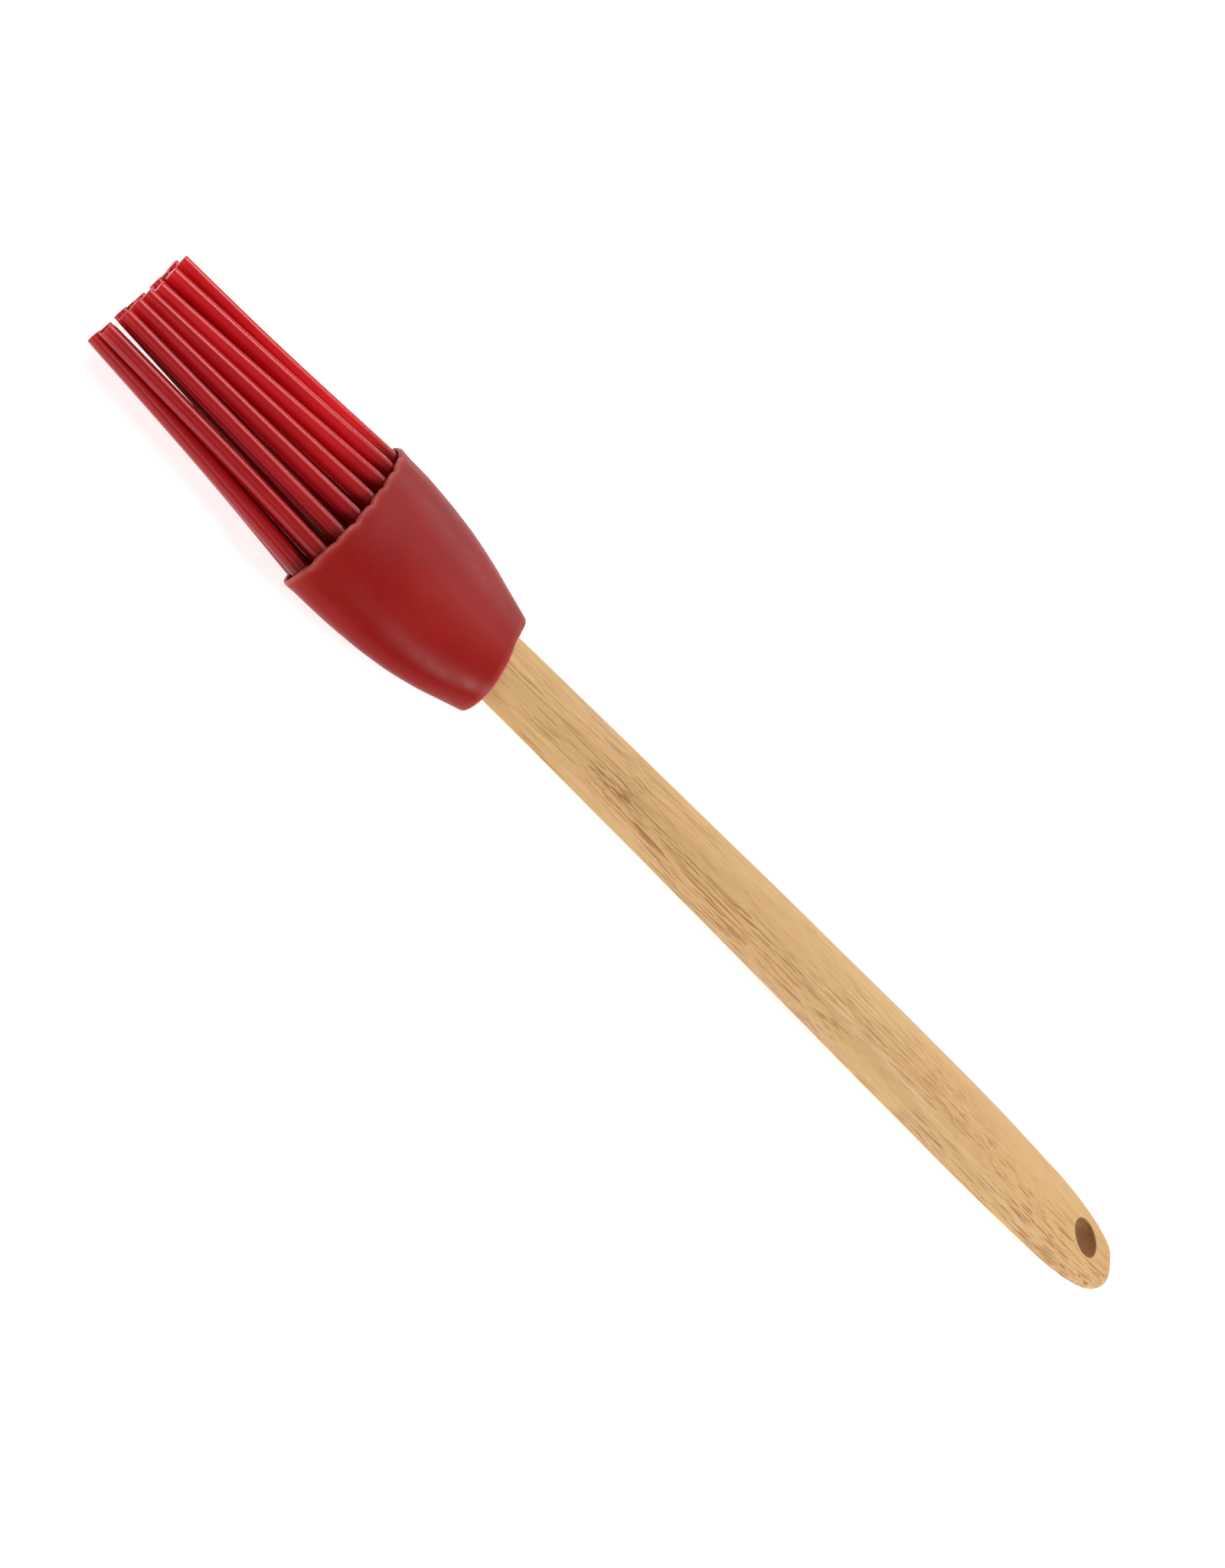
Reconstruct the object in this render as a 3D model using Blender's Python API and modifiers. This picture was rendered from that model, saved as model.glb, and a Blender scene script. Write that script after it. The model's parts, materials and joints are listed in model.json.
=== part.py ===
"""Pastry brush: a flat-oval wooden handle with a hanging hole, a silicone sleeve that
pushes onto the handle's end, a bristle block set in the sleeve's mouth, and 23 tapered
silicone bristles in an oval tuft.

Metres, +Z up. The brush lies flat, its long axis along X with the tips towards +X and its
wide faces up and down. Lengths below are in millimetres; "u" is the distance from the
hanging end along the brush, and the tips are at u = LENGTH.
"""

import math

import bmesh
import bpy
import numpy as np
from mathutils import Matrix, Vector

MM = 0.001

# ---------------------------------------------------------------- sizes, mm
LENGTH = 270.0          # hanging end to bristle tips
AXIS_Z = 7.95           # height of the long axis over the table

# Handle: half width and half thickness along u. The thickness is constant round the hanging
# hole, so both wide faces are truly flat there.
HANDLE_HALF_WIDTH = [(0.0, 1.4), (0.5, 5.05), (2.0, 6.55), (4.5, 7.95), (8.0, 9.1), (13.0, 10.15),
                     (22.0, 10.9), (38.0, 10.8), (70.0, 9.35), (110.0, 7.55), (150.0, 6.55),
                     (190.0, 6.0), (214.0, 5.6)]
HANDLE_HALF_THICK = [(0.0, 2.3), (0.6, 2.65), (1.6, 2.8), (5.0, 2.8), (17.0, 2.8), (32.0, 3.4),
                     (60.0, 4.9), (90.0, 5.7), (115.0, 5.9), (150.0, 5.5), (190.0, 4.9),
                     (214.0, 4.5)]
HANDLE_STATIONS = [0.0, 0.12, 0.4, 0.9, 1.6, 2.6, 4.0, 5.5, 8.0, 12.0, 17.0, 21.0, 26.0, 32.0,
                   40.0, 50.0, 60.0, 70.0, 80.0, 90.0, 100.0, 115.0, 130.0, 150.0, 170.0, 190.0,
                   200.0, 211.4]
HANDLE_POWER = 2.3
HANDLE_FLAT = 0.26      # share of the half width that is flat
TENON_END = 212.0
HOLE_U, HOLE_R = 9.9, 4.0

# Head sleeve: half width and half thickness along u. The rim stands a little further out at
# the narrow sides than at the middle of the wide faces.
SLEEVE_START, SLEEVE_RIM = 191.5, 226.4
RIM_SCOOP = 0.8
SLEEVE_HALF_WIDTH = [(191.5, 11.8), (196.0, 13.9), (201.0, 16.0), (207.5, 17.8), (214.0, 18.6),
                     (220.0, 18.85), (226.4, 18.8)]
SLEEVE_HALF_THICK = [(191.5, 6.1), (196.0, 6.2), (201.0, 6.45), (207.5, 7.0), (214.0, 7.6),
                     (220.0, 7.95), (226.4, 7.95)]
SLEEVE_POWER = 2.05
SLEEVE_FLAT = 0.12
SLEEVE_EDGE = 1.0       # rounding of the lower end
RIM_EDGE = 0.35         # rounding of the rim's outer edge
WALL = 0.9              # sleeve wall at the mouth
POCKET_GAP = 0.3        # round the tenon
POCKET_END = 212.6
MOUTH_FLOOR = 215.4

# Bristle block
BLOCK_START, BLOCK_TOP = 215.7, 222.0
BLOCK_GAP = 0.3

# Bristles: an oval ring of 16 and a line of 7 down the middle, as
# (row, height of the row's hinge line, (width, height) of each root).
HINGE_U = 227.2
ROWS = [
    ("upper", 5.0, ((-9.6, 4.5), (-4.85, 5.2), (0.0, 5.4), (4.85, 5.2), (9.6, 4.5))),
    ("upper_side", 3.05, ((-13.8, 3.05), (13.8, 3.05))),
    ("middle", 0.0, tuple((w, 0.0) for w in (-16.4, -11.2, -7.5, -3.8, 0.0, 3.8, 7.5, 11.2, 16.4))),
    ("lower_side", -3.05, ((-13.8, -3.05), (13.8, -3.05))),
    ("lower", -5.0, ((-9.6, -4.5), (-4.85, -5.2), (0.0, -5.4), (4.85, -5.2), (9.6, -4.5))),
]
ROOT_R, TIP_R = 1.45, 1.2
TIP_SHARE_W = 0.735    # the tuft narrows to this share of its root width at the tips
TIP_SHARE_T = 0.87
STUB_R = 1.3
STUB_GAP = 0.7          # between a bristle's round root and its stub

# ---------------------------------------------------------------- colours, linear
WOOD = (0.69, 0.43, 0.19)
SLEEVE_RED = (0.33, 0.028, 0.026)
BRISTLE_RED = (0.56, 0.012, 0.015)


def clear_scene():
    for obj in list(bpy.data.objects):
        bpy.data.objects.remove(obj, do_unlink=True)
    for collection in list(bpy.data.collections):
        bpy.data.collections.remove(collection)


def new_collection(name, hidden=False):
    collection = bpy.data.collections.new(name)
    bpy.context.scene.collection.children.link(collection)
    collection.hide_render = hidden
    return collection


def material(name, color, roughness, coat=0.0):
    made = bpy.data.materials.new(name)
    made.use_nodes = True
    shader = made.node_tree.nodes["Principled BSDF"]
    shader.inputs["Base Color"].default_value = (*color, 1.0)
    shader.inputs["Roughness"].default_value = roughness
    shader.inputs["Metallic"].default_value = 0.0
    shader.inputs["Coat Weight"].default_value = coat
    made.diffuse_color = (*color, 1.0)
    return made


def smooth(knots, u, root=False):
    """Monotone cubic through the knots, taken over sqrt(u) where a round end needs it."""
    xs = np.array([k[0] for k in knots], float)
    ys = np.array([k[1] for k in knots], float)
    if root:
        xs, u = np.sqrt(xs), math.sqrt(max(u, 0.0))
    h = np.diff(xs)
    d = np.diff(ys) / h
    m = np.zeros(len(xs))
    for i in range(1, len(xs) - 1):
        if d[i - 1] * d[i] > 0:
            w1, w2 = 2 * h[i] + h[i - 1], h[i] + 2 * h[i - 1]
            m[i] = (w1 + w2) / (w1 / d[i - 1] + w2 / d[i])
    m[0], m[-1] = d[0], d[-1]
    i = int(np.clip(np.searchsorted(xs, u) - 1, 0, len(h) - 1))
    t = float(np.clip((u - xs[i]) / h[i], 0.0, 1.0))
    return float(ys[i] * (2 * t**3 - 3 * t**2 + 1) + ys[i + 1] * (3 * t**2 - 2 * t**3)
                 + h[i] * (m[i] * (t**3 - 2 * t**2 + t) + m[i + 1] * (t**3 - t**2)))


def section(half_width, half_thick, power, flat, steps=8):
    """Points (y, z) round a flat-oval section: flat top and bottom, rounded sides."""
    quarter = []
    for k in range(steps + 1):
        a = 0.5 * math.pi * k / steps
        y = flat * half_width + (1 - flat) * half_width * max(math.cos(a), 0.0) ** (2 / power)
        z = half_thick * max(math.sin(a), 0.0) ** (2 / power)
        quarter.append((y, z if k < steps else half_thick))
    ring = list(quarter) + [(0.0, half_thick)]
    ring += [(-y, z) for y, z in reversed(quarter)]
    ring += [(-y, -z) for y, z in quarter[1:]] + [(0.0, -half_thick)]
    ring += [(y, -z) for y, z in reversed(quarter[1:])]
    return ring


def place(u, y, z):
    return Vector(((u - LENGTH / 2) * MM, y * MM, (z + AXIS_Z) * MM))


def loft(name, rings, collection, scoop=()):
    """One closed body through the sections: rings is a list of (u, section points). scoop
    moves a ring's narrow sides further along u than its middle."""
    bm = bmesh.new()
    loops = []
    for i, (u, points) in enumerate(rings):
        more = scoop[i] if i < len(scoop) else 0.0
        widest = max(y for y, _ in points)
        loops.append([bm.verts.new(place(u + more * (y / widest) ** 2, y, z))
                      for y, z in points])
    for lower, upper in zip(loops, loops[1:]):
        for i in range(len(lower)):
            j = (i + 1) % len(lower)
            bm.faces.new((lower[i], lower[j], upper[j], upper[i]))
    bm.faces.new(list(reversed(loops[0])))
    bm.faces.new(loops[-1])
    bmesh.ops.recalc_face_normals(bm, faces=bm.faces)
    mesh = bpy.data.meshes.new(name)
    bm.to_mesh(mesh)
    bm.free()
    mesh.shade_smooth()
    mesh.set_sharp_from_angle(angle=math.radians(40))
    obj = bpy.data.objects.new(name, mesh)
    collection.objects.link(obj)
    return obj


def cut(obj, cutter, operation="DIFFERENCE"):
    modifier = obj.modifiers.new(cutter.name, "BOOLEAN")
    modifier.operation = operation
    modifier.solver = "EXACT"
    modifier.object = cutter


def hide(obj):
    obj.hide_render = True
    obj.display_type = "WIRE"


def move_origin(obj, point):
    """Puts the object's origin at point without moving its shape."""
    obj.data.transform(Matrix.Translation(-point))
    obj.location = point


def empty(name, point, collection, parent=None):
    made = bpy.data.objects.new(name, None)
    made.empty_display_size = 0.01
    collection.objects.link(made)
    made.location = point if parent is None else point - parent.matrix_world.translation
    made.parent = parent
    bpy.context.view_layer.update()
    return made


def attach(obj, parent):
    obj.location = obj.location - parent.matrix_world.translation
    obj.parent = parent


def make_handle(parts, cutters, wood):
    rings = []
    for u in HANDLE_STATIONS:
        rings.append((u, section(smooth(HANDLE_HALF_WIDTH, u, root=True),
                                 smooth(HANDLE_HALF_THICK, u), HANDLE_POWER, HANDLE_FLAT)))
    end = [(y * 0.93, z * 0.9) for y, z in rings[-1][1]]
    rings.append((TENON_END, end))
    handle = loft("handle", rings, parts)
    handle.data.materials.append(wood)

    bpy.ops.mesh.primitive_cylinder_add(vertices=40, radius=HOLE_R * MM, depth=0.02,
                                        location=place(HOLE_U, 0, 0))
    drill = bpy.context.active_object
    drill.name = "hanging_hole_cutter"
    for collection in list(drill.users_collection):
        collection.objects.unlink(drill)
    cutters.objects.link(drill)
    hide(drill)
    cut(handle, drill)
    return handle


def sleeve_section(u, inset=0.0):
    return section(smooth(SLEEVE_HALF_WIDTH, u) - inset, smooth(SLEEVE_HALF_THICK, u) - inset,
                   SLEEVE_POWER, SLEEVE_FLAT)


def make_sleeve(parts, cutters, red):
    rings = []
    for k in range(4):
        a = 0.5 * math.pi * k / 3
        inset = SLEEVE_EDGE * (1 - math.sin(a))
        rings.append((SLEEVE_START + SLEEVE_EDGE * (1 - math.cos(a)),
                      sleeve_section(SLEEVE_START, inset)))
    for u in (193.5, 195.5, 198.0, 201.0, 204.0, 207.5, 210.5, 214.0, 217.0, 220.0, 223.0,
              SLEEVE_RIM - RIM_EDGE):
        rings.append((u, sleeve_section(u)))
    rings.append((SLEEVE_RIM - RIM_EDGE * 0.3, sleeve_section(SLEEVE_RIM, RIM_EDGE * 0.3)))
    rings.append((SLEEVE_RIM, sleeve_section(SLEEVE_RIM, RIM_EDGE)))
    scoop = [0.0] * (len(rings) - 3) + [RIM_SCOOP] * 3
    sleeve = loft("head_sleeve", rings, parts, scoop)
    sleeve.data.materials.append(red)

    pocket = []
    for u in (SLEEVE_START - 2.0, 190.0, 200.0, POCKET_END):
        pocket.append((u, section(smooth(HANDLE_HALF_WIDTH, u) + POCKET_GAP,
                                  smooth(HANDLE_HALF_THICK, u) + POCKET_GAP,
                                  HANDLE_POWER, HANDLE_FLAT)))
    pocket = loft("tenon_pocket_cutter", pocket, cutters)
    hide(pocket)
    cut(sleeve, pocket)

    mouth = []
    for u in (MOUTH_FLOOR, 217.0, 219.5, 223.0, SLEEVE_RIM, SLEEVE_RIM + 3.0):
        mouth.append((u, sleeve_section(min(u, SLEEVE_RIM), WALL)))
    mouth = loft("mouth_cutter", mouth, cutters)
    hide(mouth)
    cut(sleeve, mouth)
    return sleeve


def bristle_line(width, thick):
    """Root centre and direction of the bristle whose root is at (width, thick)."""
    root = place(HINGE_U, width, thick)
    tip = place(LENGTH, width * TIP_SHARE_W, thick * TIP_SHARE_T)
    return root, (tip - root).normalized()


def make_block(parts, cutters, red):
    inset = WALL + BLOCK_GAP
    rings = [(u, sleeve_section(min(u, SLEEVE_RIM), inset)) for u in
             (BLOCK_START, 217.0, 219.5, BLOCK_TOP)]
    block = loft("bristle_block", rings, parts)
    block.data.materials.append(red)

    bm = bmesh.new()
    foot, top = BLOCK_TOP - 1.5, HINGE_U - ROOT_R - STUB_GAP
    turn = Matrix.Rotation(math.radians(90), 4, "Y")
    for _, _, roots in ROWS:
        for width, thick in roots:
            middle = place((foot + top) / 2, width, thick)
            bmesh.ops.create_cone(bm, cap_ends=True, segments=12, radius1=STUB_R * MM,
                                  radius2=STUB_R * MM, depth=(top - foot) * MM,
                                  matrix=Matrix.Translation(middle) @ turn)
    mesh = bpy.data.meshes.new("bristle_stubs")
    bm.to_mesh(mesh)
    bm.free()
    stubs = bpy.data.objects.new("bristle_stubs", mesh)
    cutters.objects.link(stubs)
    hide(stubs)
    cut(block, stubs, "UNION")
    return block


def bristle_mesh(name, length):
    """Half outline of one bristle along its own Z: round root, straight taper, cut tip."""
    root, tip = ROOT_R * MM, TIP_R * MM
    points = [(0.0, length), (tip * 0.75, length), (tip, length - tip * 0.25)]
    points += [(root, 0.0)]
    for k in range(1, 4):
        a = 0.5 * math.pi * k / 3
        points.append((root * math.cos(a) if k < 3 else 0.0, -root * math.sin(a)))
    mesh = bpy.data.meshes.new(name)
    mesh.from_pydata([(x, 0.0, z) for x, z in points],
                     [(i, i + 1) for i in range(len(points) - 1)], [])
    return mesh


def make_bristle(name, width, thick, parts, red):
    root, direction = bristle_line(width, thick)
    length = (LENGTH - HINGE_U - 0.02) * MM / direction.x - TIP_R * MM * abs(
        math.sqrt(max(0.0, 1 - direction.x**2)))
    obj = bpy.data.objects.new(name, bristle_mesh(name, length))
    parts.objects.link(obj)
    obj.data.materials.append(red)
    screw = obj.modifiers.new("turn", "SCREW")
    screw.axis = "Z"
    screw.steps = screw.render_steps = 12
    screw.use_merge_vertices = True
    screw.merge_threshold = 0.00001
    screw.use_smooth_shade = True
    obj.rotation_mode = "QUATERNION"
    obj.rotation_quaternion = direction.to_track_quat("Z", "Y")
    obj.location = root
    return obj


def main():
    clear_scene()
    parts = new_collection("pastry_brush")
    cutters = new_collection("cutters", hidden=True)
    wood = material("handle_wood", WOOD, 0.55)
    sleeve_red = material("sleeve_silicone", SLEEVE_RED, 0.62)
    bristle_red = material("bristle_silicone", BRISTLE_RED, 0.30, coat=0.15)

    handle = make_handle(parts, cutters, wood)
    handle_frame = empty("handle_frame", place(0, 0, 0), parts)
    move_origin(handle, place(0, 0, 0))
    attach(handle, handle_frame)

    # The head slides off along X, so its frame sits on the long axis at the sleeve's end.
    head_frame = empty("head_pull_off_axis", place(SLEEVE_START, 0, 0), parts, handle_frame)
    for piece in (make_sleeve(parts, cutters, sleeve_red),
                  make_block(parts, cutters, bristle_red)):
        for modifier in piece.modifiers:
            modifier.object.parent = head_frame
            modifier.object.matrix_parent_inverse = head_frame.matrix_world.inverted()
        move_origin(piece, place(SLEEVE_START, 0, 0))
        attach(piece, head_frame)

    # Each row bends about its own line, parallel to Y, through the middle of its roots.
    for row, height, roots in ROWS:
        hinge = empty(row + "_row_bend_axis", place(HINGE_U, 0, height), parts, head_frame)
        for number, (width, thick) in enumerate(roots, 1):
            bristle = make_bristle(f"bristle_{row}_{number}", width, thick, parts, bristle_red)
            attach(bristle, hinge)


main()
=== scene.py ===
"""Looks of the pastry brush: wooden handle, dark red silicone sleeve, bristle block and bright
red silicone bristles, each a fine mesh in the place of its plain CAD solid.

Lengths are in millimetres along the brush: "u" runs from the hanging end to the bristle
tips, y across the wide faces, z up from the long axis.
"""
import json
import math

import bmesh
import bpy
import numpy as np
from mathutils import Matrix, Vector, noise

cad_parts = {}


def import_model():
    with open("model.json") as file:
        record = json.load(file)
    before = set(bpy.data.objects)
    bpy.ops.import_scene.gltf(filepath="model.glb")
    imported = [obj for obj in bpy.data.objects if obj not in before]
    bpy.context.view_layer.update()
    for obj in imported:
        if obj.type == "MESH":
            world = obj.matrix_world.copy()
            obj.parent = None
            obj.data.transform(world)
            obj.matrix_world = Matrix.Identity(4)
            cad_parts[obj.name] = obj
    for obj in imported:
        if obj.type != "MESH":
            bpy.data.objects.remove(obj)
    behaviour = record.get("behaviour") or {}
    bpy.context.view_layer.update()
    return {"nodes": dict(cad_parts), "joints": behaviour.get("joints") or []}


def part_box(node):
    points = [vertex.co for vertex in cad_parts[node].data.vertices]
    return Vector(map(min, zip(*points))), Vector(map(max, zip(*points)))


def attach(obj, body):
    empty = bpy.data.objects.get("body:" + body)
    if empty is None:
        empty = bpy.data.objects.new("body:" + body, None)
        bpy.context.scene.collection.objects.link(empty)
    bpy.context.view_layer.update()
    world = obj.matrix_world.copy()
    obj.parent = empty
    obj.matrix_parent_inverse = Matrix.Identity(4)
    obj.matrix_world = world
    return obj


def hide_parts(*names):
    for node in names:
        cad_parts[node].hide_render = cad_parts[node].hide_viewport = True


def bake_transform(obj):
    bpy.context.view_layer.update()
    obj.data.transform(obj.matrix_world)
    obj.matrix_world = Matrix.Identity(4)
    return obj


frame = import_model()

MM = 0.001
scene = bpy.context.scene

# ------------------------------------------------------------------ places, from the CAD
handle_lo, handle_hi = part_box("handle")
sleeve_lo, sleeve_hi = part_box("head_sleeve")
tips_x = max(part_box(n)[1].x for n in frame["nodes"] if n.startswith("bristle_middle_"))
X0 = handle_lo.x
AXIS = (handle_lo.z + handle_hi.z) / 2
LENGTH = (tips_x - X0) / MM
RIM_SCOOP = 0.8
RIM = (sleeve_hi.x - X0) / MM - RIM_SCOOP
SLEEVE_START = (sleeve_lo.x - X0) / MM
HINGE_U = (frame["joints"][1]["pos_m"][0] - X0) / MM

HANDLE_HALF_WIDTH = [(0.0, 1.4), (0.5, 5.05), (2.0, 6.55), (4.5, 7.95), (8.0, 9.1), (13.0, 10.15),
                     (22.0, 10.9), (38.0, 10.8), (70.0, 9.35), (110.0, 7.55), (150.0, 6.55),
                     (190.0, 6.0), (214.0, 5.6)]
HANDLE_HALF_THICK = [(0.0, 2.3), (0.6, 2.65), (1.6, 2.8), (5.0, 2.8), (17.0, 2.8), (32.0, 3.4),
                     (60.0, 4.9), (90.0, 5.7), (115.0, 5.9), (150.0, 5.5), (190.0, 4.9),
                     (214.0, 4.5)]
HANDLE_POWER, HANDLE_FLAT = 2.3, 0.26
TENON_END = 212.0
HOLE_U, HOLE_R = 9.9, 4.0
SLEEVE_HALF_WIDTH = [(191.5, 11.8), (196.0, 13.9), (201.0, 16.0), (207.5, 17.8), (214.0, 18.6),
                     (220.0, 18.85), (226.4, 18.8)]
SLEEVE_HALF_THICK = [(191.5, 6.1), (196.0, 6.2), (201.0, 6.45), (207.5, 7.0), (214.0, 7.6),
                     (220.0, 7.95), (226.4, 7.95)]
SLEEVE_POWER, SLEEVE_FLAT = 2.05, 0.12
WALL = 0.9
POCKET_END, MOUTH_FLOOR = 212.6, 215.4

# Root and tip of every bristle, (y, z): each keeps its own slight lean.
BRISTLES = {
    "upper": [((-9.6, 4.5), (-6.2, 4.05)), ((-4.85, 5.2), (-1.6, 4.15)), ((0.0, 5.4), (1.3, 4.2)),
              ((4.85, 5.2), (4.25, 4.0)), ((9.6, 4.5), (7.55, 3.95))],
    "upper_side": [((-13.8, 3.05), (-10.7, 3.35)), ((13.8, 3.05), (11.1, 2.6))],
    "middle": [((-16.4, 0.0), (-11.9, 0.3)), ((-11.2, 0.0), (-8.9, 0.35)), ((-7.5, 0.0), (-6.3, 0.4)),
               ((-3.8, 0.0), (-3.75, 0.35)), ((0.0, 0.0), (-1.2, 0.3)), ((3.8, 0.0), (1.35, 0.4)),
               ((7.5, 0.0), (3.95, 0.4)), ((11.2, 0.0), (8.35, 0.1)), ((16.4, 0.0), (10.9, -0.1))],
    "lower_side": [((-13.8, -3.05), (-10.3, -2.4)), ((13.8, -3.05), (8.3, -2.7))],
    "lower": [((-9.6, -4.5), (-7.3, -3.6)), ((-4.85, -5.2), (-4.0, -4.1)), ((0.0, -5.4), (-1.2, -4.2)),
              ((4.85, -5.2), (3.6, -4.2)), ((9.6, -4.5), (6.1, -4.1))],
}
ROOT_R, TIP_R = 1.5, 1.24


# ------------------------------------------------------------------ mesh tools
def smooth(knots, u, root=False):
    """Monotone cubic through the knots, taken over sqrt(u) where a round end needs it."""
    xs = np.array([k[0] for k in knots], float)
    ys = np.array([k[1] for k in knots], float)
    if root:
        xs, u = np.sqrt(xs), math.sqrt(max(u, 0.0))
    h = np.diff(xs)
    d = np.diff(ys) / h
    m = np.zeros(len(xs))
    for i in range(1, len(xs) - 1):
        if d[i - 1] * d[i] > 0:
            w1, w2 = 2 * h[i] + h[i - 1], h[i] + 2 * h[i - 1]
            m[i] = (w1 + w2) / (w1 / d[i - 1] + w2 / d[i])
    m[0], m[-1] = d[0], d[-1]
    i = int(np.clip(np.searchsorted(xs, u) - 1, 0, len(h) - 1))
    t = float(np.clip((u - xs[i]) / h[i], 0.0, 1.0))
    return float(ys[i] * (2 * t**3 - 3 * t**2 + 1) + ys[i + 1] * (3 * t**2 - 2 * t**3)
                 + h[i] * (m[i] * (t**3 - 2 * t**2 + t) + m[i + 1] * (t**3 - t**2)))


def section(half_width, half_thick, power, flat, count):
    """(count, 2) points round a flat-oval section, evenly spaced along it, from +y."""
    a = np.linspace(0, 2 * math.pi, 1441)
    c, s = np.cos(a), np.sin(a)
    y = np.sign(c) * (flat + (1 - flat) * np.abs(c) ** (2 / power)) * half_width
    y = np.where(np.abs(c) < 1e-9, 0.0, y)
    z = np.sign(s) * np.abs(s) ** (2 / power) * half_thick
    # the flat band: between its ends z is the full half thickness
    run = np.concatenate([[0.0], np.cumsum(np.hypot(np.diff(y), np.diff(z)))])
    at = np.linspace(0, run[-1], count, endpoint=False)
    return np.stack([np.interp(at, run, y), np.interp(at, run, z)], -1)


def world(points):
    """(u, y, z) in mm to metres in the frame."""
    p = np.asarray(points, float)
    return np.stack([X0 + p[..., 0] * MM, p[..., 1] * MM, AXIS + p[..., 2] * MM], -1)


def ring_mesh(name, rings, cap_start=True, cap_end=True, attributes=None):
    """A closed skin through rings, an array (rings, count, 3) in mm; ends close in a fan."""
    rings = np.asarray(rings, float)
    n, count = rings.shape[:2]
    points = world(rings.reshape(-1, 3))
    faces = []
    for r in range(n - 1):
        a, b = r * count, (r + 1) * count
        for i in range(count):
            j = (i + 1) % count
            faces.append((a + i, b + i, b + j, a + j))
    extra = []
    if cap_start:
        extra.append(rings[0].mean(0))
        k = len(points)
        faces += [(k, i, (i + 1) % count) for i in range(count)]
    if cap_end:
        extra.append(rings[-1].mean(0))
        k = len(points) + (1 if cap_start else 0)
        base = (n - 1) * count
        faces += [(k, base + (i + 1) % count, base + i) for i in range(count)]
    if extra:
        points = np.concatenate([points, world(np.array(extra))])
    mesh = bpy.data.meshes.new(name)
    mesh.from_pydata(points.tolist(), [], faces)
    bm = bmesh.new()
    bm.from_mesh(mesh)
    bmesh.ops.recalc_face_normals(bm, faces=bm.faces)
    if bm.calc_volume(signed=True) < 0:
        bmesh.ops.reverse_faces(bm, faces=bm.faces)
    bm.to_mesh(mesh)
    bm.free()
    for key, values in (attributes or {}).items():
        layer = mesh.attributes.new(key, "FLOAT", "POINT")
        full = np.zeros(len(mesh.vertices), np.float32)
        v = np.asarray(values, np.float32).reshape(-1)
        full[:len(v)] = v
        if len(full) > len(v):
            full[len(v):] = v[-1]
        layer.data.foreach_set("value", full)
    mesh.shade_smooth()
    obj = bpy.data.objects.new(name, mesh)
    scene.collection.objects.link(obj)
    return obj


def wobble(p, scale, seed):
    return noise.noise(Vector((p[0] * scale + seed, p[1] * scale - seed, p[2] * scale + 2 * seed)))


# ------------------------------------------------------------------ node tools
class Nodes:
    def __init__(self, name):
        self.material = bpy.data.materials.new(name)
        self.material.use_nodes = True
        self.tree = self.material.node_tree
        self.shader = self.tree.nodes["Principled BSDF"]
        self.coords = self.add("ShaderNodeTexCoord").outputs["Object"]

    def add(self, kind, **settings):
        node = self.tree.nodes.new(kind)
        for key, value in settings.items():
            setattr(node, key, value)
        return node

    def link(self, source, target):
        self.tree.links.new(source, target)

    def mapped(self, scale, rotation=(0, 0, 0), offset=(0, 0, 0)):
        node = self.add("ShaderNodeMapping")
        node.inputs["Scale"].default_value = scale
        node.inputs["Rotation"].default_value = rotation
        node.inputs["Location"].default_value = offset
        self.link(self.coords, node.inputs["Vector"])
        return node.outputs["Vector"]

    def noise(self, vector, scale=1.0, detail=3.0, rough=0.5, distortion=0.0):
        node = self.add("ShaderNodeTexNoise")
        self.link(vector, node.inputs["Vector"])
        node.inputs["Scale"].default_value = scale
        node.inputs["Detail"].default_value = detail
        node.inputs["Roughness"].default_value = rough
        node.inputs["Distortion"].default_value = distortion
        return node.outputs["Fac"]

    def ramp(self, value, stops):
        node = self.add("ShaderNodeValToRGB")
        ramp = node.color_ramp
        while len(ramp.elements) < len(stops):
            ramp.elements.new(0.5)
        for element, (at, color) in zip(ramp.elements, stops):
            element.position = at
            element.color = (*color, 1.0) if len(color) == 3 else color
        self.link(value, node.inputs["Fac"])
        return node.outputs["Color"]

    def span(self, value, lo, hi, to_lo=0.0, to_hi=1.0):
        node = self.add("ShaderNodeMapRange")
        node.inputs["From Min"].default_value = lo
        node.inputs["From Max"].default_value = hi
        node.inputs["To Min"].default_value = to_lo
        node.inputs["To Max"].default_value = to_hi
        self.link(value, node.inputs["Value"])
        return node.outputs["Result"]

    def add_separate(self, vector, axis):
        node = self.add("ShaderNodeSeparateXYZ")
        self.link(vector, node.inputs["Vector"])
        return node.outputs[axis]

    def math(self, operation, a, b=None):
        node = self.add("ShaderNodeMath", operation=operation)
        for socket, value in zip(node.inputs, (a, b)):
            if value is None:
                continue
            if isinstance(value, (int, float)):
                socket.default_value = value
            else:
                self.link(value, socket)
        return node.outputs["Value"]

    def attribute(self, name):
        return self.add("ShaderNodeAttribute", attribute_name=name).outputs["Fac"]

    def bump(self, height, strength, distance, normal=None):
        node = self.add("ShaderNodeBump")
        node.inputs["Strength"].default_value = strength
        node.inputs["Distance"].default_value = distance
        self.link(height, node.inputs["Height"])
        if normal is not None:
            self.link(normal, node.inputs["Normal"])
        return node.outputs["Normal"]


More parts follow.
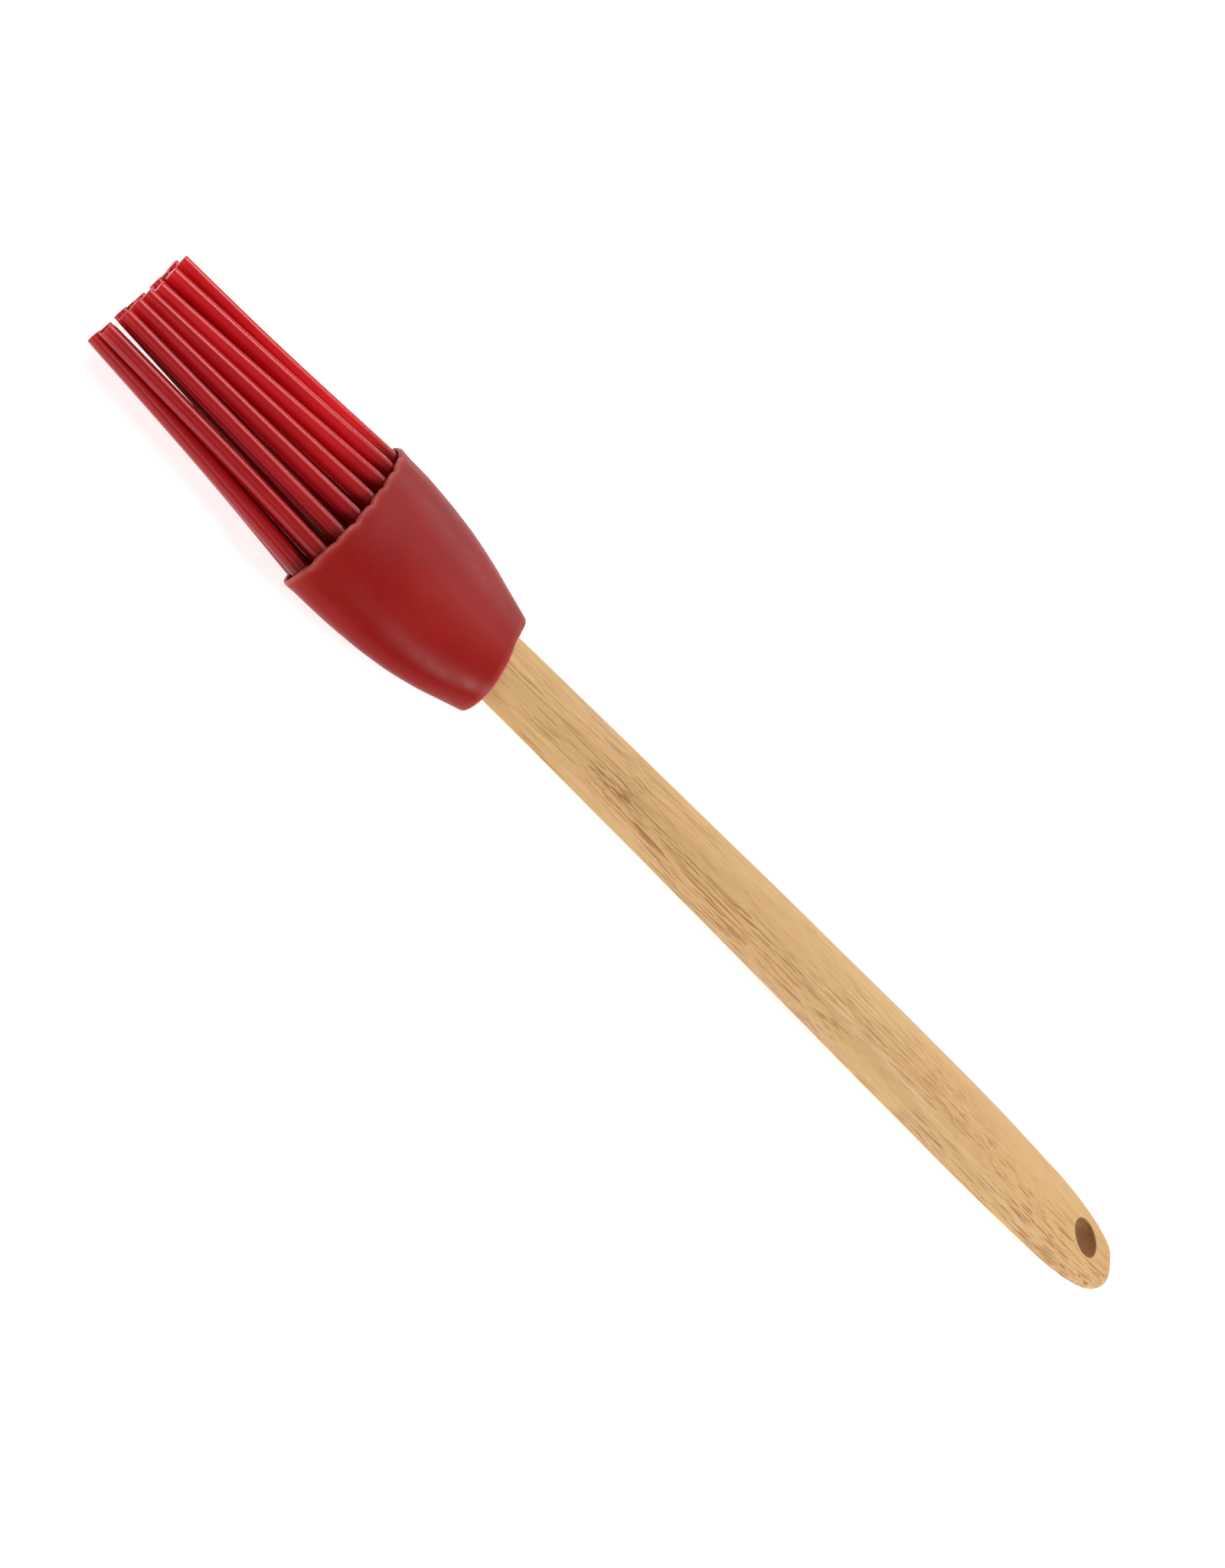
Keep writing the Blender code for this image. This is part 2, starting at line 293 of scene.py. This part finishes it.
def blended(nodes, factor, a, b, blend="MIX"):
    """Colour mix: a and b are colours or sockets, factor a number or a socket."""
    node = nodes.add("ShaderNodeMix", data_type="RGBA", blend_type=blend)
    sockets = {"factor": node.inputs[0], "a": node.inputs[6], "b": node.inputs[7]}
    for key, value in (("factor", factor), ("a", a), ("b", b)):
        socket = sockets[key]
        if isinstance(value, (int, float)):
            socket.default_value = value
        elif isinstance(value, tuple):
            socket.default_value = (*value, 1.0)
        else:
            nodes.link(value, socket)
    return node.outputs[2]


# ------------------------------------------------------------------ materials
def wood_material():
    n = Nodes("handle_wood")
    tilt = math.radians(3.0)
    # slow wander of the grain
    wander = n.add("ShaderNodeVectorMath", operation="SCALE")
    low = n.add("ShaderNodeTexNoise")
    low.inputs["Scale"].default_value = 1.0
    low.inputs["Detail"].default_value = 1.0
    n.link(n.mapped((22.0, 60.0, 60.0), offset=(3.1, 1.7, 0.4)), low.inputs["Vector"])
    n.link(low.outputs["Color"], wander.inputs[0])
    wander.inputs["Scale"].default_value = 0.0022
    moved = n.add("ShaderNodeVectorMath", operation="ADD")
    n.link(n.coords, moved.inputs[0])
    n.link(wander.outputs["Vector"], moved.inputs[1])
    plain = n.coords
    n.coords = moved.outputs["Vector"]

    broad = n.noise(n.mapped((16.0, 130.0, 130.0), (0, 0, tilt)), 1.0, 2.0, 0.5)
    mottle = n.noise(n.mapped((55.0, 170.0, 170.0), (0, 0, -tilt)), 1.0, 3.0, 0.55)
    fibre = n.noise(n.mapped((70.0, 1900.0, 1900.0), (0, 0, tilt)), 1.0, 4.0, 0.6)
    fine = n.noise(n.mapped((260.0, 5200.0, 5200.0), (0, 0, 0)), 1.0, 2.0, 0.5)

    color = n.ramp(broad, [(0.32, (0.61, 0.365, 0.142)), (0.52, (0.675, 0.415, 0.168)),
                           (0.72, (0.725, 0.470, 0.210))])
    color = blended(n, n.span(mottle, 0.35, 0.7, 0.0, 0.42), color, (0.70, 0.395, 0.17))
    color = blended(n, n.span(fibre, 0.42, 0.68, 0.0, 0.40), color, (0.56, 0.325, 0.125))
    color = blended(n, n.span(fine, 0.45, 0.75, 0.0, 0.22), color, (0.83, 0.60, 0.33))

    # open pores: thin dark dashes along the grain, in loose clusters
    cluster = n.noise(n.mapped((34.0, 150.0, 150.0), offset=(7.7, 2.2, 0.0)), 1.0, 2.0, 0.6)
    dash_a = n.noise(n.mapped((85.0, 3100.0, 3100.0), (0, 0, math.radians(5))), 1.0, 1.5, 0.5)
    dash_b = n.noise(n.mapped((110.0, 3900.0, 3900.0), (0, 0, math.radians(-3)), (1.3, 9.1, 4.0)), 1.0, 1.5, 0.5)
    side = n.span(n.add_separate(plain, "Y"), -0.006, 0.004, 0.18, 1.0)
    clump = n.math("MULTIPLY", n.span(cluster, 0.40, 0.56, 0.15, 1.0), side)
    pores_a = n.math("MULTIPLY", n.span(dash_a, 0.57, 0.62), clump)
    pores_b = n.math("MULTIPLY", n.span(dash_b, 0.59, 0.64), n.math("MULTIPLY", n.span(cluster, 0.35, 0.6, 0.3, 0.9), side))
    pores = n.math("MAXIMUM", pores_a, pores_b)
    color = blended(n, n.math("MULTIPLY", pores, 0.78), color, (0.31, 0.115, 0.040))

    # worn, slightly darker and smoother where it is held; paler along the hanging end
    held = n.attribute("held")
    color = blended(n, n.math("MULTIPLY", held, 0.16), color, (0.55, 0.33, 0.15))
    edge = n.attribute("edge")
    color = blended(n, n.math("MULTIPLY", edge, 0.30), color, (0.80, 0.58, 0.33))
    # inside the hanging hole: darker brown, partly scorching from the drill and partly painted shade in the hole
    bore = n.attribute("bore")
    bore_scorch_and_shade = n.ramp(fibre, [(0.3, (0.27, 0.115, 0.034)), (0.7, (0.42, 0.21, 0.075))])
    color = blended(n, bore, color, bore_scorch_and_shade)
    n.link(color, n.shader.inputs["Base Color"])

    rough = n.span(fibre, 0.3, 0.7, 0.50, 0.64)
    rough = n.math("SUBTRACT", rough, n.math("MULTIPLY", held, 0.07))
    rough = n.math("ADD", rough, n.math("MULTIPLY", pores, 0.2))
    n.link(rough, n.shader.inputs["Roughness"])
    n.shader.inputs["Specular IOR Level"].default_value = 0.38
    relief = n.math("SUBTRACT", n.math("MULTIPLY", fibre, 0.35), n.math("MULTIPLY", pores, 1.0))
    n.link(n.bump(relief, 0.45, 0.00012), n.shader.inputs["Normal"])
    n.coords = plain
    return n.material


def sleeve_material():
    n = Nodes("sleeve_silicone")
    cloud = n.noise(n.mapped((70.0, 90.0, 90.0)), 1.0, 3.0, 0.5)
    speck = n.noise(n.mapped((900.0, 900.0, 900.0)), 1.0, 3.0, 0.6)
    dust = n.noise(n.mapped((260.0, 420.0, 420.0), offset=(2.0, 5.0, 1.0)), 1.0, 4.0, 0.62)
    color = n.ramp(cloud, [(0.34, (0.275, 0.005, 0.004)), (0.52, (0.300, 0.007, 0.005)),
                           (0.70, (0.325, 0.010, 0.007))])
    color = blended(n, n.span(speck, 0.55, 0.8, 0.0, 0.20), color, (0.34, 0.03, 0.028))
    # painted highlight: the bottom edge and the rim lip are painted paler pink, mottled by the dust noise
    edge = n.attribute("edge")
    edge_wear_and_highlight = n.math("MULTIPLY", edge, n.span(dust, 0.30, 0.62, 0.45, 1.0))
    color = blended(n, n.math("MULTIPLY", edge_wear_and_highlight, 0.80), color, (0.66, 0.17, 0.145))
    # painted shade: inside the sleeve, in the handle's pocket and the mouth below the rim, the colour is painted
    # near black
    inside = n.attribute("inside")
    color = blended(n, n.math("MULTIPLY", inside, 0.75), color, (0.08, 0.003, 0.004))
    n.link(color, n.shader.inputs["Base Color"])
    rough = n.span(dust, 0.3, 0.7, 0.36, 0.47)
    rough = n.math("ADD", rough, n.math("MULTIPLY", edge_wear_and_highlight, 0.06))
    n.link(rough, n.shader.inputs["Roughness"])
    n.shader.inputs["Specular IOR Level"].default_value = 0.15
    n.shader.inputs["Subsurface Weight"].default_value = 0.08
    n.shader.inputs["Subsurface Radius"].default_value = (1.0, 0.22, 0.15)
    n.shader.inputs["Subsurface Scale"].default_value = 0.0008
    relief = n.math("ADD", n.math("MULTIPLY", speck, 0.5), n.math("MULTIPLY", dust, 0.5))
    n.link(n.bump(relief, 0.22, 0.00006), n.shader.inputs["Normal"])
    return n.material


def bristle_material():
    n = Nodes("bristle_silicone")
    long = n.noise(n.mapped((45.0, 420.0, 420.0)), 1.0, 2.0, 0.5)
    speck = n.noise(n.mapped((700.0, 1500.0, 1500.0)), 1.0, 3.0, 0.6)
    streak = n.noise(n.mapped((90.0, 2400.0, 2400.0)), 1.0, 2.0, 0.5)
    color = n.ramp(long, [(0.32, (0.58, 0.004, 0.008)), (0.52, (0.67, 0.006, 0.010)),
                          (0.72, (0.75, 0.010, 0.013))])
    color = blended(n, n.span(speck, 0.5, 0.78, 0.0, 0.22), color, (0.82, 0.02, 0.02))
    # painted shade: the bristles darken towards +y, the side the light reaches less
    color = blended(n, n.span(n.add_separate(n.coords, "Y"), -0.011, 0.012, 0.0, 0.88), color,
                    (0.36, 0.004, 0.008))
    tip = n.attribute("tip")
    color = blended(n, n.math("MULTIPLY", tip, 0.40), color, (0.86, 0.03, 0.03))
    # painted shade: near black towards the roots, where the bristles go down into the sleeve
    root = n.attribute("root")
    color = blended(n, n.math("MULTIPLY", root, 0.84), color, (0.13, 0.002, 0.004))
    n.link(color, n.shader.inputs["Base Color"])
    n.link(n.span(long, 0.3, 0.7, 0.20, 0.30), n.shader.inputs["Roughness"])
    n.shader.inputs["Specular IOR Level"].default_value = 0.40
    n.shader.inputs["Subsurface Weight"].default_value = 0.18
    n.shader.inputs["Subsurface Radius"].default_value = (1.0, 0.12, 0.10)
    n.shader.inputs["Subsurface Scale"].default_value = 0.0010
    relief = n.math("ADD", n.math("MULTIPLY", streak, 0.7), n.math("MULTIPLY", speck, 0.3))
    n.link(n.bump(relief, 0.10, 0.00002), n.shader.inputs["Normal"])
    return n.material


wood, sleeve_red, bristle_red = wood_material(), sleeve_material(), bristle_material()


# ------------------------------------------------------------------ handle
def build_handle():
    count = 128
    stations = [0.0, 0.03, 0.08, 0.16, 0.28, 0.42, 0.6, 0.8, 1.05, 1.35, 1.7, 2.1, 2.6, 3.2, 3.9, 4.6]
    stations += list(np.arange(5.2, 20.0, 0.8)) + list(np.arange(20.5, TENON_END - 1.2, 2.0))
    stations += [TENON_END - 0.9, TENON_END - 0.45, TENON_END - 0.15, TENON_END]
    rings, held, edge = [], [], []
    for u in stations:
        w, t = smooth(HANDLE_HALF_WIDTH, u, root=True), smooth(HANDLE_HALF_THICK, u)
        if u < 0.05:
            w, t = (w * 0.45, t * 0.45) if u == 0.0 else (w * 0.85, t * 0.85)
        inset = {TENON_END - 0.45: 0.12, TENON_END - 0.15: 0.35, TENON_END: 0.8}.get(u, 0.0)
        flat = section(w - inset, t - inset, HANDLE_POWER, HANDLE_FLAT, count)
        # carved by hand and not quite straight; true again where it enters the sleeve
        bow = 0.2 * math.exp(-u / 12) - 0.36 * max(0.0, 1 - ((u - 108) / 82) ** 2) ** 0.7
        ring = []
        for y, z in flat:
            d = 0.05 * wobble((u * 0.05, y * 0.1, z * 0.1), 1.0, 4.0)
            r = math.hypot(y, z) + 1e-9
            ring.append((u - 0.6 * math.exp(-u / 9), y * (1 + d / r) + bow, z * (1 + d / r)))
        rings.append(ring)
        grip = math.exp(-((u - 75) / 38.0) ** 2)
        held.append([grip] * count)
        near_end = max(0.0, 1 - u / 2.2)
        edge.append([near_end * 0.8] * count)
    obj = ring_mesh("handle_wood_body", rings, attributes={"held": held, "edge": edge})

    # the hanging hole, with its edges broken
    soft = 0.42
    half = smooth(HANDLE_HALF_THICK, HOLE_U)
    profile = [(HOLE_R + 0.38, half + 3.0)]
    for k in range(8):
        a = math.radians(74 - 74 * k / 7)
        profile.append((HOLE_R + soft * (1 - math.cos(a)), half - soft + soft * math.sin(a)))
    profile += [(HOLE_R - 0.03, half * 0.5), (HOLE_R - 0.04, half * 0.18)]
    profile += [(r, -z) for r, z in reversed(profile)]
    ring_count = 96
    cutter_rings = []
    bm = bmesh.new()
    for r, z in profile:
        cutter_rings.append([bm.verts.new((X0 + (HOLE_U + r * math.cos(2 * math.pi * k / ring_count)) * MM,
                                           r * math.sin(2 * math.pi * k / ring_count) * MM,
                                           AXIS + z * MM)) for k in range(ring_count)])
    for a, b in zip(cutter_rings, cutter_rings[1:]):
        for i in range(ring_count):
            j = (i + 1) % ring_count
            bm.faces.new((a[i], a[j], b[j], b[i]))
    bm.faces.new(list(reversed(cutter_rings[0])))
    bm.faces.new(cutter_rings[-1])
    bmesh.ops.recalc_face_normals(bm, faces=bm.faces)
    mesh = bpy.data.meshes.new("hole_cutter")
    bm.to_mesh(mesh)
    bm.free()
    cutter = bpy.data.objects.new("hole_cutter", mesh)
    scene.collection.objects.link(cutter)
    modifier = obj.modifiers.new("hole", "BOOLEAN")
    modifier.operation, modifier.solver, modifier.object = "DIFFERENCE", "EXACT", cutter
    bpy.context.view_layer.update()
    cut = bpy.data.meshes.new_from_object(obj.evaluated_get(bpy.context.evaluated_depsgraph_get()))
    obj.modifiers.clear()
    obj.data = cut
    bpy.data.objects.remove(cutter)

    # bore: 1 on the inside of the hanging hole, which the wood colour paints darker as scorching and painted shade
    layer = cut.attributes.new("bore", "FLOAT", "POINT")
    axis = np.array([X0 + HOLE_U * MM, 0.0])
    co = np.zeros(len(cut.vertices) * 3)
    cut.vertices.foreach_get("co", co)
    co = co.reshape(-1, 3)
    away = np.hypot(co[:, 0] - axis[0], co[:, 1] - axis[1]) / MM
    layer.data.foreach_set("value", np.clip((HOLE_R + 0.32 - away) / 0.22, 0, 1).astype(np.float32))
    edge_wear_and_highlight = cut.attributes.get("edge")
    have = np.zeros(len(cut.vertices), np.float32)
    edge_wear_and_highlight.data.foreach_get("value", have)
    lip = np.clip(1 - np.abs(away - HOLE_R - 0.5) / 0.45, 0, 1) * 0.6
    edge_wear_and_highlight.data.foreach_set("value", np.maximum(have, lip).astype(np.float32))
    cut.shade_smooth()
    cut.set_sharp_from_angle(angle=math.radians(38))
    cut.materials.clear()
    cut.materials.append(wood)
    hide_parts("handle")
    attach(obj, "handle")
    return obj


# ------------------------------------------------------------------ sleeve
def near_bristle(y, z):
    """How close a point of the lip is to a bristle of the ring, 1 right at it."""
    best = 0.0
    for row in BRISTLES.values():
        for (by, bz), _ in row:
            if row is BRISTLES["middle"] and abs(by) < 13:
                continue
            reach = math.hypot(y - by, z - bz)
            best = max(best, math.exp(-((reach - 2.3) / 0.95) ** 2) if reach > 2.3 else 1.0)
    return best


def sleeve_ring(u, inset=0.0, count=192):
    return section(smooth(SLEEVE_HALF_WIDTH, u) - inset, smooth(SLEEVE_HALF_THICK, u) - inset,
                   SLEEVE_POWER, SLEEVE_FLAT, count)


def pocket_ring(u, gap, count=192):
    return section(smooth(HANDLE_HALF_WIDTH, u, root=True) + gap,
                   smooth(HANDLE_HALF_THICK, u) + gap, HANDLE_POWER, HANDLE_FLAT, count)


def build_sleeve():
    count = 192
    rings, edge, inside = [], [], []

    def add(u, flat, e=0.0, i=0.0, scoop=0.0, lip=0.0):
        widest = np.abs(flat[:, 0]).max()
        ring = []
        for y, z in flat:
            away = (y / widest) ** 2
            uu = u + scoop * away - scoop * (0.95 - 1.15 * y / widest)
            if lip:
                bump = near_bristle(y, z)
                uu += lip * (0.60 * bump - 0.30)
                r = math.hypot(y, z)
                out = lip * (0.10 * bump + 0.24 * away**4)
                y, z = y * (1 + out / r), z * (1 + out / r)
            else:
                d = 0.06 * wobble((u * 0.07, y * 0.09, z * 0.12), 1.0, 9.0) * (1 - i)
                r = math.hypot(y, z) + 1e-9
                y, z = y * (1 + d / r), z * (1 + d / r)
            low = (1 - i) * math.exp(-max(0.0, u - SLEEVE_START) / 3.0)
            uu += low * (0.38 * math.exp(-((y / widest + 0.12) / 0.32) ** 2)
                         - 0.28 * math.exp(-((y / widest + 0.75) / 0.25) ** 2)
                         - 0.30 * math.exp(-((y / widest - 0.88) / 0.35) ** 2))
            y += (1 - i) * 0.34 * math.exp(-max(0.0, u - SLEEVE_START) / 9) * min(1.0, abs(y) / 8)
            ring.append((uu, y, z))
        rings.append(ring)
        # e: strength of the painted highlight along the bottom edge and the rim lip
        edge.append([e] * count)
        # i: 1 inside the sleeve, where the colour is painted near black as shade
        inside.append([i] * count)

    gap = 0.14
    add(POCKET_END, pocket_ring(POCKET_END, gap - 0.6, count), 0, 1)
    add(POCKET_END - 0.1, pocket_ring(POCKET_END, gap - 0.1, count), 0, 1)
    for u in (POCKET_END - 0.6, 208.0, 203.0, 199.0, 196.0, SLEEVE_START + 1.2):
        add(u, pocket_ring(u, gap, count), 0, 1)
    s = SLEEVE_START
    add(s + 0.55, pocket_ring(s, gap + 0.02, count), 0.0, 0.6)
    add(s + 0.25, pocket_ring(s, gap + 0.10, count), 0.4, 0.2)
    add(s + 0.08, pocket_ring(s, gap + 0.28, count), 0.9, 0)
    add(s + 0.03, pocket_ring(s, gap + 0.5, count), 0.8, 0)
    # the flat lower face runs from the handle out to the softened outer edge
    inner = pocket_ring(s, gap + 0.5, count)
    soft = 0.32
    outer = sleeve_ring(s, soft, count)
    for k in (0.35, 0.7):
        add(s + 0.02 + 0.06 * k, inner * (1 - k) + outer * k, 0.15, 0)
    for k in range(7):
        a = 0.5 * math.pi * k / 6
        add(s + soft * (1 - math.cos(a)), sleeve_ring(s + soft * (1 - math.cos(a)), soft * (1 - math.sin(a)), count),
            0.35 + 0.6 * math.sin(2 * a), 0)
    top = RIM
    us = list(np.linspace(s + soft + 0.4, top - 2.2, 44))
    for u in us:
        e = max(0.0, 1 - (u - s - soft) / 1.1) * 0.25
        k = max(0.0, (u - (top - 14)) / 14) ** 2
        add(u, sleeve_ring(u, 0.0, count), e, 0, RIM_SCOOP * k)
    for back, e, lip in ((1.8, 0.0, 0.15), (1.4, 0.0, 0.35), (1.0, 0.05, 0.6), (0.7, 0.15, 0.8),
                         (0.45, 0.35, 0.95), (0.3, 0.6, 1.0)):
        add(top - back, sleeve_ring(top, 0.0, count), e, 0, RIM_SCOOP * (1 - back / 14) ** 2, lip)
    wall = WALL - 0.06
    for k in range(9):
        a = math.pi * k / 8
        r = 0.30
        mid = wall / 2
        inset = mid - mid * math.cos(a)
        add(top - r + r * math.sin(a), sleeve_ring(top, inset, count), 0.85, 0, RIM_SCOOP, 1.0)
    for back, i in ((0.6, 0.0), (1.0, 0.15), (1.6, 0.4), (2.4, 0.7), (3.6, 0.9), (5.5, 1), (8.0, 1)):
        add(top - back, sleeve_ring(min(top - back, top), wall, count), 0.3 if back < 1 else 0.0, i,
            RIM_SCOOP * max(0.0, 1 - back / 8), max(0.0, 1 - back / 1.8))
    add(MOUTH_FLOOR + 0.3, sleeve_ring(MOUTH_FLOOR, wall, count), 0, 1)
    add(MOUTH_FLOOR, sleeve_ring(MOUTH_FLOOR, wall + 0.4, count), 0, 1)
    obj = ring_mesh("head_sleeve_silicone", rings, attributes={"edge": edge, "inside": inside})
    obj.data.set_sharp_from_angle(angle=math.radians(60))
    obj.data.materials.append(sleeve_red)
    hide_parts("head_sleeve")
    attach(obj, "head")
    return obj


# ------------------------------------------------------------------ block the bristles grow from
def build_block():
    count = 160
    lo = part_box("bristle_block")[0]
    start = (lo.x - X0) / MM
    top = RIM - 3.1
    inset = WALL + 0.10
    rings = []

    def plain(u, extra):
        flat = sleeve_ring(min(u, RIM), inset + extra, count)
        return np.c_[np.full(count, u), flat]

    rings.append(plain(start, 0.6))
    rings.append(plain(start + 0.2, 0.15))
    for u in (start + 0.6, start + 2.0, start + 4.0, top - 0.6):
        rings.append(plain(u, 0.0))
    rings.append(plain(top - 0.2, 0.08))
    edge_ring = sleeve_ring(top, inset + 0.3, count)
    roots = [root for row in BRISTLES.values() for root, _ in row]
    for k in np.linspace(1.0, 0.02, 44):
        ring = []
        for y, z in edge_ring * k:
            reach = min(math.hypot(y - by, z - bz) for by, bz in roots)
            collar = 0.75 * math.exp(-max(0.0, reach - ROOT_R * 0.92) / 0.42)
            ring.append((top + collar * min(1.0, (1 - k) / 0.05 + 0.1), y, z))
        rings.append(np.array(ring))
    # the whole block is painted nearly as dark as the bristle roots: painted shade down in the sleeve
    obj = ring_mesh("bristle_block_silicone", np.array(rings),
                    attributes={"root": np.full((len(rings), count), 0.9)})
    obj.data.set_sharp_from_angle(angle=math.radians(60))
    obj.data.materials.append(bristle_red)
    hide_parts("bristle_block")
    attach(obj, "head")
    return obj


# ------------------------------------------------------------------ bristles
def build_bristle(row, number, root, tip, index):
    count = 28
    start = RIM - 4.2
    rng = np.random.default_rng(100 + index)
    length = LENGTH - rng.uniform(0.0, 0.55) + 1.1 * max(0.0, tip[0] / 11.0)
    length += 0.45 if row == "middle" else 0.0
    bow = rng.uniform(-0.16, 0.16, 2)
    wave = rng.uniform(0, 2 * math.pi)
    steps = [0, 0.02, 0.05, 0.09] + list(np.linspace(0.13, 0.97, 30)) + [0.985]
    centres, radii = [], []

    def centre(k):
        """k from 0 at the hinge to 1 at the tip; below 0 it goes straight down."""
        f = max(k, 0.0)
        ease = f + 0.05 * math.sin(math.pi * f)
        y = root[0] + (tip[0] - root[0]) * (ease if k > 0 else k * 0.6)
        z = root[1] + (tip[1] - root[1]) * (ease if k > 0 else k * 0.6)
        y += bow[0] * math.sin(math.pi * f) + 0.03 * math.sin(7 * f + wave)
        z += bow[1] * math.sin(math.pi * f) * 0.7
        return np.array([HINGE_U + (length - HINGE_U) * k, y, z])

    low = (start - HINGE_U) / (length - HINGE_U)
    ks = [low, low * 0.6, low * 0.3] + [s for s in steps]
    rows = []
    for k in ks:
        r = ROOT_R + (TIP_R - ROOT_R) * max(k, 0.0)
        rows.append((k, r))
    edge = 0.16
    reach = (length - HINGE_U)
    for a in (0, 30, 60, 90):
        a = math.radians(a)
        rows.append((1 - (edge - edge * math.sin(a)) / reach, TIP_R - edge + edge * math.cos(a)))
    rows.append((1.0 + 0.03 / reach, TIP_R * 0.5))
    rings, tips, root_shade = [], [], []
    for k, r in rows:
        c = centre(k)
        ahead = centre(k + 0.01) - centre(k - 0.01) if k > 0.02 else centre(0.04) - centre(0.02)
        d = ahead / np.linalg.norm(ahead)
        side = np.cross(d, [0, 0, 1.0])
        side /= np.linalg.norm(side)
        up = np.cross(side, d)
        a = np.linspace(0, 2 * math.pi, count, endpoint=False)
        rings.append(c + r * (np.cos(a)[:, None] * side + np.sin(a)[:, None] * up))
        tips.append([max(0.0, (k - 0.93) / 0.07) ** 2] * count)
        # painted shade, strongest at the root and fading out a fifth of the way from the hinge to the tip
        root_shade.append([float(np.clip(1 - (k - low) / (0.20 - low), 0, 1)) ** 1.3] * count)
    obj = ring_mesh(f"bristle_{row}_{number}_silicone", np.array(rings),
                    attributes={"tip": tips, "root": root_shade})
    obj.data.set_sharp_from_angle(angle=math.radians(60))
    obj.data.materials.append(bristle_red)
    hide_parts(f"bristle_{row}_{number}")
    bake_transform(obj)
    return obj


build_handle()
build_sleeve()
build_block()
index = 0
for row, items in BRISTLES.items():
    for number, (root, tip) in enumerate(items, 1):
        build_bristle(row, number, root, tip, index)
        index += 1


# ------------------------------------------------------------------ floor, light, camera
def build_floor():
    bm = bmesh.new()
    bmesh.ops.create_grid(bm, x_segments=8, y_segments=8, size=3.0)
    mesh = bpy.data.meshes.new("floor")
    bm.to_mesh(mesh)
    bm.free()
    floor = bpy.data.objects.new("floor", mesh)
    scene.collection.objects.link(floor)
    floor.location.z = -0.0002
    n = Nodes("floor")
    n.shader.inputs["Base Color"].default_value = (0.52, 0.52, 0.52, 1.0)
    n.shader.inputs["Roughness"].default_value = 0.9
    n.shader.inputs["Specular IOR Level"].default_value = 0.0
    n.shader.inputs["Emission Color"].default_value = (1, 1, 1, 1)
    n.shader.inputs["Emission Strength"].default_value = 0.82
    mesh.materials.append(n.material)


def area(name, location, target, size, power, shape=None, color=(1, 1, 1)):
    data = bpy.data.lights.new(name, "AREA")
    data.energy, data.color = power, color
    data.shape = "RECTANGLE"
    data.size, data.size_y = size if isinstance(size, tuple) else (size, size)
    obj = bpy.data.objects.new(name, data)
    scene.collection.objects.link(obj)
    obj.location = location
    obj.rotation_euler = (Vector(target) - Vector(location)).to_track_quat("-Z", "Y").to_euler()
    return obj


build_floor()
target = (0.04, 0.0, AXIS)
area("key", (0.20, -0.60, 0.78), target, (0.45, 0.45), 4.2)
area("edge_light", (-0.40, -0.85, 0.42), target, (0.8, 0.12), 2.3)
area("band", (-0.54, 0.32, 0.60), target, (0.17, 0.36), 4.4)
area("fill", (0.38, 0.62, 0.60), target, (0.5, 0.5), 1.0)

backdrop = bpy.data.worlds.new("studio")
scene.world = backdrop
backdrop.use_nodes = True
backdrop.node_tree.nodes["Background"].inputs["Color"].default_value = (1, 1, 1, 1)
backdrop.node_tree.nodes["Background"].inputs["Strength"].default_value = 0.22
scene.view_settings.view_transform = "Standard"
scene.view_settings.look = "None"

camera_data = bpy.data.cameras.new("camera")
camera = bpy.data.objects.new("camera", camera_data)
scene.collection.objects.link(camera)
right = Vector((-0.640431, -0.245176, 0.72783))
up = Vector((0.649875, -0.67802, 0.34344))
back = Vector((0.40928, 0.692948, 0.593559))
place = Matrix((right, up, back)).transposed().to_4x4()
place.translation = Vector((0.14269, 0.20229, 0.18964))
camera.matrix_world = place
camera_data.sensor_fit = "VERTICAL"
camera_data.sensor_height = 36.0
camera_data.lens = 38.67
camera_data.shift_x = -56.7 / 2048
camera_data.shift_y = -15.4 / 2048
camera_data.clip_start = 0.01
scene.camera = camera
